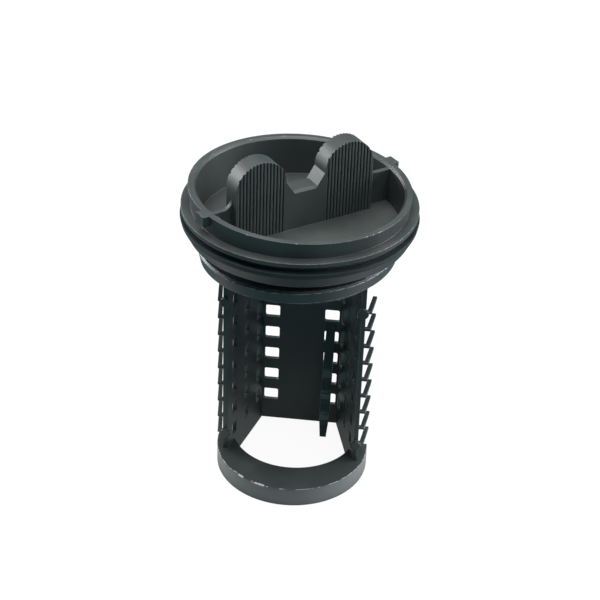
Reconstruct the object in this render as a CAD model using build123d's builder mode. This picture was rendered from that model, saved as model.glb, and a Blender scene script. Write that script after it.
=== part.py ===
"""Drain filter of a washing machine.

A black moulding, which is a screw cap with a two-eared grip and a comb-sided cage
below it, and the rubber lip seal that sits under the cap's flange.  Millimetres, +Z up.
The origin is on the filter's axis at the foot of the cage, and the cage is open to -Y.
"""

import os
from math import cos, hypot, radians, sin

from build123d import *

# Lengths along the axis, from the foot of the cage upwards
cage_length = 78.8  # foot of the cage to the lower edge of the threaded skirt
skirt_length = 10.6  # threaded skirt, up to the seal's seat
seat_length = 5.2  # seat of the seal
shoulder_length = 2.2  # shoulder between the seal and the flange
flange_thick = 1.3
rim_rise = 5.5  # top of the flange to the middle of the rim
cup_depth = 12.4  # middle of the rim down to the floor of the cup
floor_thick = 2.0

# Cap, from its flange inwards
flange_radius = 36.0
flange_ledge = 2.2  # flange outside the rim
rim_flare = 0.7  # the cup wall leans out by this much from the flange to the rim
rim_wall = 2.4
rim_slope = 1.8  # degrees, the rim is higher on the -X side
rim_chamfer = 0.7
cup_draft = 0.6  # the cup is this much narrower at its floor
groove_depth = 2.0  # shoulder inside the flange
seat_depth = 3.0  # seat inside the flange
skirt_step = 6.0  # skirt inside the seat
skirt_wall = 2.2

# Lip seal
seal_proud = 0.3  # band outside the flange
seal_step = 0.3
seal_taper = 2.2
seal_band = 1.5  # height of the band above the taper, which is a little narrower at its foot
seal_fit = 0.05  # radial clearance on the seat
bead_height = 0.8  # bead that keeps the seal on, sloped below
bead_reach = 0.35

# Screw thread on the skirt, right-hand
thread_depth = 4.05
thread_crest = 3.6
thread_draft = 0.7  # the crest leans in by this much at its lower edge
thread_bevel = 0.6  # bevel of the crest's upper edge
thread_flank = 0.5  # each flank widens by this much towards the root
thread_lead = 6.3
thread_start = 161.7  # degrees about the axis from +X to the lower end
thread_turn = 260.0  # degrees
thread_height = 2.2  # middle of the crest above the skirt's edge at the lower end
thread_sink = 0.5

# Grip across the cup
grip_angle = 36.4  # degrees from +X
grip_thick = 6.2
ear_centre = 15.0  # from the axis to the middle of each ear
ear_radius = 8.5
ear_rise = 12.6  # top of an ear above the middle of the rim
saddle_half = 4.1
saddle_rise = 0.5  # saddle above the middle of the rim
saddle_chamfer = 0.7
facet_half = 6.0
facet_rise = 3.4
rib_count = 14
rib_pitch = 1.12
rib_depth = 0.6
rib_gap = 0.6  # width of the groove between two ribs
web_thick = 1.4
web_drop = 1.6  # top of the end webs below the middle of the rim
web_bend = 3.0

# Lugs outside the rim
lug_angle = 41.2  # degrees from +X
lug_width = 4.2
lug_height = 2.5
lug_reach = 1.8

# Cage plan: a flat back and two side walls that splay to their front edges
back_inner = 20.9
back_half = 12.9
front_x = 20.8
front_y = -7.0
cage_wall = 1.4

# Windows in the three walls
window_width = 4.8
window_height = 4.6
window_corner = 0.4
window_rows = 8
window_pitch = 8.5
window_first = 10.0  # middle of the lowest row of the back wall
side_shift = 1.3  # the side rows are this much higher
back_column = 9.9  # middle of the back wall to each column
side_columns = 3
side_pitch = 9.8
side_first = 3.7  # corner to the middle of the nearest side column
side_width = 3.2  # the side windows are narrower
side_top_width = 6.4  # except in their top row

# Comb of hooks outside each side wall
comb_count = 9
comb_pitch = 6.4
comb_first = 13.2
comb_thick = 1.0
comb_width = 1.3
comb_x = 24.0  # outside of a hook at the front edges
comb_lean = 1.0  # further out at the hook's end
comb_back = 2.0  # the hooks end here, behind the axis

# Pads on the front edges
pad_radius = 1.7
pad_sides = 12
pad_proud = 0.8
pad_low = 13.2
pad_high = 64.5

# Foot: half a ring with a crescent floor
foot_radius = 24.9
foot_height = 6.5
foot_plate = 2.0
foot_wall = 2.0
foot_back = 2.5  # the ring ends here, behind the axis
mouth_radius = 20.8
mouth_back = 7.2  # centre of the mouth's arc, behind the axis

# Barbed finger on the back wall
finger_x = 9.5
finger_width = 3.3
finger_high = 41.0
finger_low = 38.0
finger_sink = 0.7
finger_taper = 0.4  # the finger is narrower at its root, on the side of the axis
finger_tip = 8.0  # front of the tip, behind the axis
finger_tip_thick = 2.2
finger_tip_width = 2.1
finger_tip_height = 3.5
finger_tip_length = 6.5  # the tip narrows over this much
barb_count = 3
barb_pitch = 7.0
barb_first = 11.2
barb_reach = 0.9
barb_length = 3.6

# Radii that follow from the flange
rim_radius = flange_radius - flange_ledge
rim_root_radius = rim_radius - rim_flare
cup_radius = rim_radius - rim_wall
cup_floor_radius = cup_radius - cup_draft
shoulder_radius = flange_radius - groove_depth
seat_radius = flange_radius - seat_depth
skirt_radius = seat_radius - skirt_step
thread_radius = skirt_radius + thread_depth
seal_radius = flange_radius + seal_proud
seal_step_radius = seal_radius - seal_step
seal_foot_radius = seal_radius - seal_taper

# Levels
skirt_z = cage_length
seat_z = skirt_z + skirt_length
shoulder_z = seat_z + seat_length
flange_z = shoulder_z + shoulder_length
flange_top = flange_z + flange_thick
rim_z = flange_top + rim_rise
floor_z = rim_z - cup_depth
under_floor = floor_z - floor_thick
ear_top = rim_z + ear_rise
ear_spring = ear_top - ear_radius
ear_in = ear_centre - ear_radius
ear_out = ear_centre + ear_radius
saddle_z = rim_z + saddle_rise
facet_z = rim_z + facet_rise
web_z = rim_z - web_drop
window_top = window_first + window_pitch * (window_rows - 1)
window_middle = (window_first + window_top) / 2

# Planes
rim_plane = Plane((0, 0, rim_z)).rotated((0, rim_slope, 0))
along = (cos(radians(grip_angle)), sin(radians(grip_angle)), 0)
across = (sin(radians(grip_angle)), -cos(radians(grip_angle)), 0)
grip_plane = Plane((0, 0, 0), x_dir=along, z_dir=across)
rib_plane = Plane((0, 0, floor_z), x_dir=along, z_dir=(0, 0, 1))
back_plane = Plane((0, back_inner, 0), x_dir=(1, 0, 0), z_dir=(0, -1, 0))
pad_plane = Plane((0, front_y, 0), x_dir=(1, 0, 0), z_dir=(0, -1, 0))
finger_side = Plane((finger_x, 0, 0), x_dir=(0, 1, 0), z_dir=(1, 0, 0))
finger_face = Plane((finger_x, 0, 0), x_dir=(1, 0, 0), z_dir=(0, -1, 0))
side_length = hypot(front_x - back_half, back_inner - front_y)
side_x = (front_x - back_half) / side_length
side_y = (back_inner - front_y) / side_length

# Plan of the cage's inside, from edge to edge round the back
cage_inside = [
    (-front_x, front_y),
    (-back_half, back_inner),
    (back_half, back_inner),
    (front_x, front_y),
]

# Outline of the barbed front of the finger, from the tip upwards
finger_lean = (back_inner - finger_tip) / (finger_high - finger_tip_height)
finger_front = [(finger_tip, finger_tip_height)]
for barb in range(barb_count):
    barb_z = barb_first + barb * barb_pitch
    barb_y = finger_tip + finger_lean * (barb_z - finger_tip_height)
    finger_front.append((barb_y - finger_lean * barb_length, barb_z - barb_length))
    finger_front.append((barb_y - barb_reach, barb_z))
    finger_front.append((barb_y, barb_z))
finger_front.append((back_inner, finger_high))

# Ridge of the thread, swept along its helix from +X
with BuildPart() as thread:
    with BuildLine() as thread_path:
        Helix(thread_lead, thread_lead * thread_turn / 360, skirt_radius)
    thread_end = Plane(thread_path.line @ 0, x_dir=(1, 0, 0), z_dir=-(thread_path.line % 0))
    with BuildSketch(thread_end):
        with BuildLine():
            Polyline(
                (-thread_sink, -thread_crest / 2 - thread_flank),
                (thread_radius - thread_draft - skirt_radius, -thread_crest / 2),
                (thread_radius - skirt_radius, thread_crest / 2),
                (thread_radius - thread_bevel - skirt_radius, thread_crest / 2 + thread_bevel),
                (-thread_sink, thread_crest / 2 + thread_bevel + thread_flank),
                close=True,
            )
        make_face()
    sweep(path=thread_path.line, is_frenet=True)

# Barbed finger: its side outline, cut to its front outline
with BuildPart() as finger:
    with BuildSketch(finger_side):
        with BuildLine():
            Polyline(
                *finger_front,
                (back_inner + finger_sink, finger_high),
                (back_inner + finger_sink, finger_low),
                (back_inner, finger_low),
                (finger_tip + finger_tip_thick, finger_tip_height),
                close=True,
            )
        make_face()
    extrude(amount=finger_width, both=True)
    with BuildSketch(finger_face):
        with BuildLine():
            Polyline(
                (-finger_tip_width / 2, finger_tip_height),
                (finger_tip_width / 2, finger_tip_height),
                (finger_width / 2, finger_tip_height + finger_tip_length),
                (finger_width / 2, finger_high),
                (finger_taper - finger_width / 2, finger_high),
                (-finger_width / 2, (finger_tip_height + finger_high) / 2),
                (-finger_width / 2, finger_tip_height + finger_tip_length),
                close=True,
            )
        make_face()
    extrude(amount=2 * back_inner, both=True, mode=Mode.INTERSECT)

with BuildPart() as filter_body:
    # Cup, flange, shoulder, seat and skirt as one turned profile
    with BuildSketch(Plane.XZ):
        with BuildLine():
            Polyline(
                (0, under_floor),
                (skirt_radius - skirt_wall, under_floor),
                (skirt_radius - skirt_wall, skirt_z),
                (skirt_radius, skirt_z),
                (skirt_radius, seat_z - bead_height),
                (seat_radius, seat_z - bead_height),
                (seat_radius + bead_reach, seat_z),
                (seat_radius, seat_z),
                (seat_radius, shoulder_z),
                (shoulder_radius, shoulder_z),
                (shoulder_radius, flange_z),
                (flange_radius, flange_z),
                (flange_radius, flange_top),
                (rim_root_radius, flange_top),
                (rim_radius, rim_z),
                (rim_radius, rim_z + lug_height),
                (cup_radius, rim_z + lug_height),
                (cup_radius, rim_z),
                (cup_floor_radius, floor_z),
                (0, floor_z),
                close=True,
            )
        make_face()
    revolve(axis=Axis.Z)

    # Lugs, then the rim and both lugs cut to the rim's slope
    with BuildSketch(Plane.XY.offset(rim_z - lug_height)):
        with Locations(Rot(0, 0, lug_angle)):
            Rectangle(2 * (rim_radius + lug_reach), lug_width)
        Circle((cup_radius + rim_radius) / 2, mode=Mode.SUBTRACT)
    extrude(amount=2 * lug_height)
    split(bisect_by=rim_plane, keep=Keep.BOTTOM)
    rim_face = filter_body.faces().filter_by(rim_plane).sort_by(SortBy.AREA)[-1]
    chamfer(rim_face.inner_wires()[0].edges(), rim_chamfer)

    # Grip: round ears with a saddle between them
    with BuildSketch(grip_plane):
        with BuildLine():
            Polyline((ear_out, ear_spring), (ear_out, under_floor), (-ear_out, under_floor),
                     (-ear_out, ear_spring))
            ThreePointArc((-ear_out, ear_spring), (-ear_centre, ear_top), (-ear_in, ear_spring))
            Polyline((-ear_in, ear_spring), (-facet_half, facet_z), (-saddle_half, saddle_z),
                     (saddle_half, saddle_z), (facet_half, facet_z), (ear_in, ear_spring))
            ThreePointArc((ear_in, ear_spring), (ear_centre, ear_top), (ear_out, ear_spring))
        make_face()
    extrude(amount=grip_thick / 2, both=True)
    saddle_edges = filter_body.edges().filter_by(lambda edge: abs(edge.center().Z - saddle_z) < 0.01)
    chamfer(saddle_edges.filter_by(Axis(grip_plane.origin, along)), saddle_chamfer)

    # Ribs down both faces of each ear
    with BuildSketch(rib_plane):
        with Locations((ear_centre, 0), (-ear_centre, 0)):
            with GridLocations(rib_pitch, grip_thick, rib_count, 2):
                Polygon((rib_gap / 2, 0), (0, rib_depth), (-rib_gap / 2, 0), (0, -rib_depth))
    extrude(amount=ear_top, mode=Mode.SUBTRACT)

    # Thin webs from the ears out to the cup's wall
    with BuildSketch(grip_plane):
        with BuildLine():
            Polyline((ear_out, web_z + web_bend), (ear_centre, web_z + web_bend),
                     (ear_centre, under_floor), (cup_radius, under_floor), (cup_radius, web_z),
                     (ear_out + web_bend, web_z))
            RadiusArc((ear_out + web_bend, web_z), (ear_out, web_z + web_bend), web_bend)
        make_face()
        mirror(about=Plane.YZ)
    extrude(amount=web_thick / 2, both=True)

    # Thread, turned to where it starts
    with Locations((0, 0, skirt_z + thread_height)):
        add(thread.part, rotation=(0, 0, thread_start))

    # Cage walls up to the underside of the cup
    with BuildSketch():
        with BuildLine():
            Polyline(cage_inside, close=True)
        make_face()
        offset(amount=cage_wall, kind=Kind.INTERSECTION)
        with BuildLine():
            Polyline(cage_inside, close=True)
        make_face(mode=Mode.SUBTRACT)
        with Locations((0, front_y)):
            Rectangle(3 * front_x, 4 * cage_wall, align=(Align.CENTER, Align.MAX), mode=Mode.SUBTRACT)
    extrude(amount=under_floor)

    # Windows of the back wall, then of the side walls
    with BuildSketch(back_plane):
        with Locations((0, window_middle)):
            with GridLocations(2 * back_column, window_pitch, 2, window_rows):
                Rectangle(window_width, window_height)
        chamfer(vertices(), window_corner)
    extrude(amount=2 * cage_wall, both=True, mode=Mode.SUBTRACT)
    for side in (1, -1):
        side_plane = Plane(
            (side * back_half, back_inner, 0),
            x_dir=(side * side_x, -side_y, 0),
            z_dir=(-side_y, -side * side_x, 0),
        )
        with BuildSketch(side_plane):
            with Locations((side_first + side_pitch, window_middle + side_shift)):
                with GridLocations(side_pitch, window_pitch, side_columns, window_rows):
                    Rectangle(side_width, window_height)
            with Locations((side_first + side_pitch, window_top + side_shift)):
                with GridLocations(side_pitch, window_pitch, side_columns, 1):
                    Rectangle(side_top_width, window_height)
        extrude(amount=2 * cage_wall, both=True, mode=Mode.SUBTRACT)

    # Pads on the front edges
    with BuildSketch(pad_plane):
        with Locations((0, (pad_low + pad_high) / 2)):
            with GridLocations(2 * front_x + cage_wall, pad_high - pad_low, 2, 2):
                RegularPolygon(pad_radius, pad_sides)
    extrude(amount=pad_proud)

    # Comb: hooks that stand out from the front edges and bend back, clear of the walls
    with BuildSketch(*[Plane.XY.offset(comb_first + hook * comb_pitch) for hook in range(comb_count)]):
        with BuildLine():
            Polyline(
                (front_x, front_y),
                (comb_x, front_y),
                (comb_x + comb_lean, comb_back),
                (comb_x + comb_lean - comb_width, comb_back),
                (comb_x - comb_width, front_y + comb_thick),
                (front_x, front_y + comb_thick),
                close=True,
            )
        make_face()
        mirror(about=Plane.YZ)
    extrude(amount=comb_thick)

    # Foot: the crescent floor and the wall under its outer edge
    with BuildSketch(Plane.XY.offset(foot_height)):
        Circle(foot_radius)
        with Locations((0, foot_back)):
            Rectangle(
                2 * foot_radius,
                2 * foot_radius,
                align=(Align.CENTER, Align.MAX),
                mode=Mode.INTERSECT,
            )
        with Locations((0, mouth_back)):
            Circle(mouth_radius, mode=Mode.SUBTRACT)
    extrude(amount=-foot_plate)
    with BuildSketch():
        Circle(foot_radius)
        Circle(foot_radius - foot_wall, mode=Mode.SUBTRACT)
        with Locations((0, foot_back)):
            Rectangle(
                2 * foot_radius,
                2 * foot_radius,
                align=(Align.CENTER, Align.MAX),
                mode=Mode.INTERSECT,
            )
    extrude(amount=foot_height)

    add(finger.part)

# Seal: a straight band over a tapered side, on the seat between shoulder and bead
with BuildPart() as seal_ring:
    with BuildSketch(Plane.XZ):
        with BuildLine():
            Polyline(
                (seat_radius + seal_fit, seat_z),
                (seat_radius + seal_fit, shoulder_z),
                (seal_radius, shoulder_z),
                (seal_step_radius, shoulder_z - seal_band),
                (seal_foot_radius, seat_z),
                close=True,
            )
        make_face()
    revolve(axis=Axis.Z)

os.makedirs("parts", exist_ok=True)
filter_body.part.label = "filter_body"
seal_ring.part.label = "seal_ring"
export_step(filter_body.part, "parts/filter_body.step")
export_step(seal_ring.part, "parts/seal_ring.step")
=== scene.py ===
"""Drain filter of a washing machine, stood on its cage on a white table.

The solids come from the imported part.  This script gives them their finish, and sets
the table, the studio light and the camera.  Lengths are in metres.
"""

import math

import bpy
from mathutils import Matrix, Vector

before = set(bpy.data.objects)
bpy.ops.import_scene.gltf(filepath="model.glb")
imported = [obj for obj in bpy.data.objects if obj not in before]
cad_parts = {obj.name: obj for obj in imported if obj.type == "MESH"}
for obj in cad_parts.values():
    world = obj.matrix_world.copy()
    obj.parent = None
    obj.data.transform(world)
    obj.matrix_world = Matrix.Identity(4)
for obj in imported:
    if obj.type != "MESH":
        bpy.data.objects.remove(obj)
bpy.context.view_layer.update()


# The moulding: cap, grip, thread and cage in one shot of charcoal plastic.
# Its skin is satin from the mould, and the sharp outer edges of the flange, the rim,
# the thread and the foot are scuffed pale. Painted highlights pale the edges in the cup,
# the finger's edges and barbs and the right post's front edges, and a painted reflection pales the
# foot's side.
MM = 0.001


class Value:
    """A shader socket that takes part in sums."""

    def __init__(self, tree, socket):
        self.tree = tree
        self.socket = socket

    def node(self, kind, settings=None, **inputs):
        """A new node with its settings and the values or links of its sockets."""
        made = self.tree.nodes.new(kind)
        for name, value in (settings or {}).items():
            setattr(made, name, value)
        for name, value in inputs.items():
            key = int(name[1:]) if name[1:].isdigit() else name.replace("_", " ")
            if isinstance(value, Value):
                self.tree.links.new(value.socket, made.inputs[key])
            else:
                made.inputs[key].default_value = value
        return made

    def out(self, made, name=0):
        return Value(self.tree, made.outputs[name])

    def math(self, operation, other=0.0, third=0.0):
        settings = {"operation": operation}
        return self.out(self.node("ShaderNodeMath", settings, _0=self, _1=other, _2=third))

    def __add__(self, other):
        return self.math("ADD", other)

    def __sub__(self, other):
        return self.math("SUBTRACT", other)

    def __rsub__(self, other):
        return self.math("MULTIPLY_ADD", -1.0, other)

    def __mul__(self, other):
        return self.math("MULTIPLY", other)

    __radd__ = __add__
    __rmul__ = __mul__

    def scaled(self, shares):
        """This vector, with each part of it times its share."""
        settings = {"operation": "MULTIPLY"}
        return self.out(self.node("ShaderNodeVectorMath", settings, _0=self, _1=shares))

    def length(self):
        return self.out(self.node("ShaderNodeVectorMath", {"operation": "LENGTH"}, _0=self), "Value")

    def dot(self, other):
        settings = {"operation": "DOT_PRODUCT"}
        return self.out(self.node("ShaderNodeVectorMath", settings, _0=self, _1=other), "Value")

    def ramp(self, low, high):
        """0 below low, 1 above high and smooth between them."""
        settings = {"interpolation_type": "SMOOTHSTEP"}
        made = self.node("ShaderNodeMapRange", settings, Value=self, From_Min=low, From_Max=high)
        return self.out(made)

    def band(self, low, high, soft):
        """1 between low and high, with soft ends."""
        return self.ramp(low - soft, low + soft) * (1 - self.ramp(high - soft, high + soft))


def noise(place, scale, detail, roughness=0.5):
    settings = {"Scale": scale, "Detail": detail, "Roughness": roughness}
    return place.out(place.node("ShaderNodeTexNoise", Vector=place, **settings))


def bevelled(place, radius):
    """The surface's normal, turned near an edge as if the edge had this radius."""
    return place.out(place.node("ShaderNodeBevel", {"samples": 8}, Radius=radius))


def mixed(factor, first, second):
    """The first colour where factor is 0 and the second where it is 1."""
    made = factor.node("ShaderNodeMix", {"data_type": "RGBA"}, Factor=factor, _6=first, _7=second)
    return factor.out(made, 2)


def finish_named(name, specular=0.5):
    """A new material, its shader and its object coordinates."""
    material = bpy.data.materials.new(name)
    material.use_nodes = True
    tree = material.node_tree
    shader = tree.nodes["Principled BSDF"]
    shader.inputs["Specular IOR Level"].default_value = specular
    place = Value(tree, tree.nodes.new("ShaderNodeTexCoord").outputs["Object"])
    return material, shader, place


def feed(shader, **inputs):
    for name, value in inputs.items():
        value.tree.links.new(value.socket, shader.inputs[name.replace("_", " ")])


def dress(node_name, material):
    """A solid of the part takes the material in place of its plain one."""
    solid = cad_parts[node_name]
    solid.data.materials.clear()
    solid.data.materials.append(material)


charcoal = (0.0255, 0.0305, 0.0305, 1.0)
charcoal_pale = (0.039, 0.045, 0.045, 1.0)
painted_sheen_grey = (0.100, 0.108, 0.109, 1.0)
painted_glint_grey = (0.20, 0.22, 0.22, 1.0)
scuff_pale = (0.50, 0.52, 0.51, 1.0)
edge_round = 0.16 * MM
edge_worn = 0.38 * MM
edge_knocked = 1.0 * MM
grain_depth = 0.05 * MM
grain_strength = 0.12

# Places of the wear and of the painted highlights and reflection: where it starts and is full, or its
# two ends and their softness
flange_out = (35.2 * MM, 35.7 * MM)
flange_level = (96.6 * MM, 98.4 * MM, 0.2 * MM)
thread_out = (30.0 * MM, 30.6 * MM)
thread_level = (79.0 * MM, 88.6 * MM, 0.3 * MM)
rim_out = (30.6 * MM, 31.0 * MM)
rim_level = (102.4 * MM, 102.8 * MM)
foot_end = (2.5 * MM, 3.0 * MM)
foot_out = (23.6 * MM, 24.2 * MM)
foot_level = (5.6 * MM, 6.8 * MM, 0.2 * MM)
foot_wall_out = (24.4 * MM, 24.7 * MM)
foot_wall_top = (6.1 * MM, 6.5 * MM)
knock_span = (-16.0 * MM, -2.0 * MM, 3.0 * MM)
finger_span = (7.4 * MM, 11.4 * MM, 0.2 * MM)
finger_depth = (6.5 * MM, 20.0 * MM, 0.5 * MM)
finger_root = (41.0 * MM, 42.0 * MM)
barb_tops = (11.2 * MM, 18.2 * MM, 25.2 * MM)
barb_below = 1.8 * MM
barb_above = 0.8 * MM
barb_soft = 0.5 * MM
front_out = (20.0 * MM, 20.4 * MM)
front_depth = (-7.6 * MM, -4.8 * MM, 0.3 * MM)
front_level = (8.0 * MM, 77.0 * MM, 1.0 * MM)
grip_level = (91.5 * MM, 91.9 * MM)
grip_out = (29.5 * MM, 30.0 * MM)

# How strongly each place is worn or painted with a highlight
flange_wear = 0.20
thread_wear = 1.1
foot_wear = 0.5
rim_wear = 0.6
grip_painted_sheen = 0.6
finger_painted_glint = 0.85
barb_painted_glint = 0.45
front_painted_glint = 0.8

moulding, moulding_shader, spot = finish_named("satin charcoal moulding")
spread = spot.node("ShaderNodeSeparateXYZ", Vector=spot)
side = spot.out(spread, "X")
depth = spot.out(spread, "Y")
height = spot.out(spread, "Z")
radius = spot.scaled((1.0, 1.0, 0.0)).length()

flat = spot.out(spot.node("ShaderNodeNewGeometry"), "Normal")
rounded = bevelled(spot, edge_round)
broad = bevelled(spot, edge_worn)
blunt = bevelled(spot, edge_knocked)
edge = (1 - broad.dot(flat)).ramp(0.01, 0.10)
knocked = (1 - blunt.dot(flat)).ramp(0.004, 0.03)

cloud = noise(spot, scale=60.0, detail=4.0)
grain = noise(spot, scale=2600.0, detail=2.0)
chips = noise(spot, scale=560.0, detail=4.0, roughness=0.65)
chips_many = chips.ramp(0.40, 0.56)
chips_some = chips.ramp(0.47, 0.57)
chips_few = chips.ramp(0.56, 0.68)

on_grip = height.ramp(*grip_level) * (1 - radius.ramp(*grip_out))
on_foot = 1 - depth.ramp(*foot_end)
on_finger = side.band(*finger_span) * depth.band(*finger_depth) * (1 - height.ramp(*finger_root))
flange_edge = radius.ramp(*flange_out) * height.band(*flange_level)
thread_edge = radius.ramp(*thread_out) * height.band(*thread_level)
rim_edge = radius.ramp(*rim_out) * height.ramp(*rim_level)
foot_edge = on_foot * radius.ramp(*foot_out) * height.band(*foot_level)
foot_side_painted_reflection = on_foot * radius.ramp(*foot_wall_out) * (1 - height.ramp(*foot_wall_top))
front_edge_painted_glint = edge * side.ramp(*front_out) * depth.band(*front_depth) * height.band(*front_level)
# Painted highlights on the finger: its edges and a band at each barb.
finger_painted_glints = edge * finger_painted_glint
for barb_top in barb_tops:
    barb = height.band(barb_top - barb_below, barb_top + barb_above, barb_soft)
    finger_painted_glints = finger_painted_glints.math("MAXIMUM", barb_painted_glint * barb)

rubbed = flange_edge * flange_wear + thread_edge * thread_wear + foot_edge * foot_wear
worn = edge * (rubbed * chips_many + rim_edge * chips_few * rim_wear)
worn = worn + knocked * foot_edge * side.band(*knock_span) * chips_some

skin = mixed(cloud.ramp(0.35, 0.75), charcoal, charcoal_pale)
# Painted highlight: the edges in the cup and on the grip are painted paler.
skin = mixed(on_grip * edge * grip_painted_sheen, skin, painted_sheen_grey)
# Painted reflection: the foot's side is painted paler, as if it mirrored the white table.
skin = mixed(foot_side_painted_reflection * (cloud * 0.5 + 0.52), skin, painted_sheen_grey)
# Painted highlights on the finger's edges and barbs.
skin = mixed(on_finger * finger_painted_glints, skin, painted_glint_grey)
# Painted highlight on the front edges of the right post.
skin = mixed(front_edge_painted_glint * front_painted_glint, skin, painted_glint_grey)
turned = spot.node("ShaderNodeMix", {"data_type": "VECTOR"}, Factor=on_grip, _4=broad, _5=rounded)
relief = spot.node(
    "ShaderNodeBump",
    Strength=grain_strength,
    Distance=grain_depth,
    Height=grain,
    Normal=spot.out(turned, 1),
)
feed(moulding_shader, Base_Color=mixed(worn.ramp(0.0, 0.7), skin, scuff_pale))
feed(moulding_shader, Roughness=cloud * 0.12 + 0.39 + worn * 0.3)
feed(moulding_shader, Normal=spot.out(relief))
dress("filter_body", moulding)


# The lip seal: a ring of black rubber, moulded with a straight band over a tapered side,
# and pushed on to the neck under the flange.
rubber = (0.016, 0.021, 0.022, 1.0)
rubber_dusty = (0.027, 0.034, 0.035, 1.0)
lip_round = 0.2 * MM

lip, lip_shader, lip_spot = finish_named("smooth black rubber", specular=0.3)
dust = noise(lip_spot, scale=140.0, detail=4.0)
feed(lip_shader, Base_Color=mixed(dust.ramp(0.4, 0.8), rubber, rubber_dusty))
feed(lip_shader, Roughness=dust * 0.15 + 0.40)
feed(lip_shader, Normal=bevelled(lip_spot, lip_round))
dress("seal_ring", lip)


# The table: a white sheet that fills the view, with a faint shadow under the foot.
# The camera sees it all white. For the object it is white only in a band around the foot, with a
# painted shadow under the foot and painted shade beyond the band, and only that band glows white in
# its reflections.
table_half = 3.0
shadow_share = 0.06
sheet_white = (0.86, 0.86, 0.86, 1.0)
painted_shade_sheet_colour = (0.08, 0.145, 0.155, 1.0)
sheet_rough = 0.9
sheet_stretch = (0.25, 1.0, 1.0)
painted_lit_reach = 0.031
sheet_soft = 0.003
painted_shadow_radius = 0.0255
painted_shadow_level = 0.3

table_mesh = bpy.data.meshes.new("table")
corners = [(-1, -1), (1, -1), (1, 1), (-1, 1)]
table_mesh.from_pydata([(x * table_half, y * table_half, 0.0) for x, y in corners], [], [(0, 1, 2, 3)])
table = bpy.data.objects.new("table", table_mesh)
bpy.context.scene.collection.objects.link(table)

sheet, sheet_shader, sheet_spot = finish_named("white sheet", specular=0.0)
sheet_shader.inputs["Roughness"].default_value = sheet_rough
path = sheet_spot.node("ShaderNodeLightPath")
direct = sheet_spot.out(path, "Is Camera Ray")
glossy = sheet_spot.out(path, "Is Glossy Ray")
mirrored = glossy.math("MAXIMUM", sheet_spot.out(path, "Is Transmission Ray"))
# Painted light on the sheet: white near the foot, a painted shadow under it, painted shade further
# out.
near = 1 - sheet_spot.scaled(sheet_stretch).length().ramp(painted_lit_reach, painted_lit_reach + sheet_soft)
clear = sheet_spot.length().ramp(painted_shadow_radius, painted_shadow_radius + sheet_soft)
painted_lit_zone = near * (clear * (1.0 - painted_shadow_level) + painted_shadow_level)
feed(sheet_shader, Base_Color=mixed(direct.math("MAXIMUM", painted_lit_zone), painted_shade_sheet_colour, sheet_white))
white = sheet_spot.node("ShaderNodeEmission", Color=(1.0, 1.0, 1.0, 1.0), Strength=1.0)
seen = sheet_spot.node(
    "ShaderNodeMixShader",
    Fac=direct.math("MAXIMUM", mirrored * painted_lit_zone) * (1.0 - shadow_share),
    _1=Value(sheet.node_tree, sheet_shader.outputs["BSDF"]),
    _2=sheet_spot.out(white),
)
feed(sheet.node_tree.nodes["Material Output"], Surface=sheet_spot.out(seen))
table_mesh.materials.append(sheet)


# The studio: a dim, cool room with a broad soft box overhead and one at each side.
# A weaker box, high in front on the right, fills the grip and the cup.
room_colour = (0.30, 0.90, 1.0, 1.0)
room_strength = 0.165
warm_white = (1.0, 0.95, 0.91)
cool_white = (0.92, 0.98, 1.0)
middle = (0.0, 0.0, 0.06)

room = bpy.data.worlds.new("studio room")
bpy.context.scene.world = room
room.use_nodes = True
room.node_tree.nodes["Background"].inputs["Color"].default_value = room_colour
room.node_tree.nodes["Background"].inputs["Strength"].default_value = room_strength


def soft_box(name, place, size, power, colour=(1.0, 1.0, 1.0)):
    """A rectangular lamp that faces the middle of the filter."""
    lamp = bpy.data.lights.new(name, "AREA")
    lamp.shape = "RECTANGLE"
    lamp.size, lamp.size_y = size
    lamp.energy = power
    lamp.color = colour
    box = bpy.data.objects.new(name, lamp)
    bpy.context.scene.collection.objects.link(box)
    box.location = place
    box.rotation_euler = (Vector(middle) - Vector(place)).to_track_quat("-Z", "Y").to_euler()


soft_box("overhead box", place=(-0.08, 0.05, 0.95), size=(0.8, 0.7), power=15.0, colour=warm_white)
soft_box("left box", place=(-0.9, 0.5, 0.22), size=(0.4, 0.7), power=13.5)
soft_box("right box", place=(0.9, 0.2, 0.26), size=(0.4, 0.7), power=14.0)
soft_box("front box", place=(0.48, -0.50, 0.88), size=(0.5, 0.5), power=4.6, colour=cool_white)


# The camera: a long lens at the photograph's height and turn.
# It is rolled a little to the left and shifted to place the filter in the picture.
aim = Vector((0.0, 0.0, 60.0)) * MM
distance = 500.0 * MM
rise = math.radians(33.28)
turn = math.radians(5.56)
roll = math.radians(1.919)

out = Vector((math.sin(turn) * math.cos(rise), -math.cos(turn) * math.cos(rise), math.sin(rise)))
right = Vector((math.cos(turn), math.sin(turn), 0.0))
up = out.cross(right)
right_rolled = right * math.cos(roll) + up * math.sin(roll)
up_rolled = up * math.cos(roll) - right * math.sin(roll)
lens = bpy.data.cameras.new("camera")
lens.sensor_width = 36.0
lens.lens = 95.35
lens.shift_x = 0.0056
lens.shift_y = 0.0123
camera = bpy.data.objects.new("camera", lens)
bpy.context.scene.collection.objects.link(camera)
camera.matrix_world = Matrix.Translation(aim + out * distance) @ Matrix(
    (right_rolled, up_rolled, out)
).transposed().to_4x4()
bpy.context.scene.camera = camera
bpy.context.scene.view_settings.view_transform = "Standard"
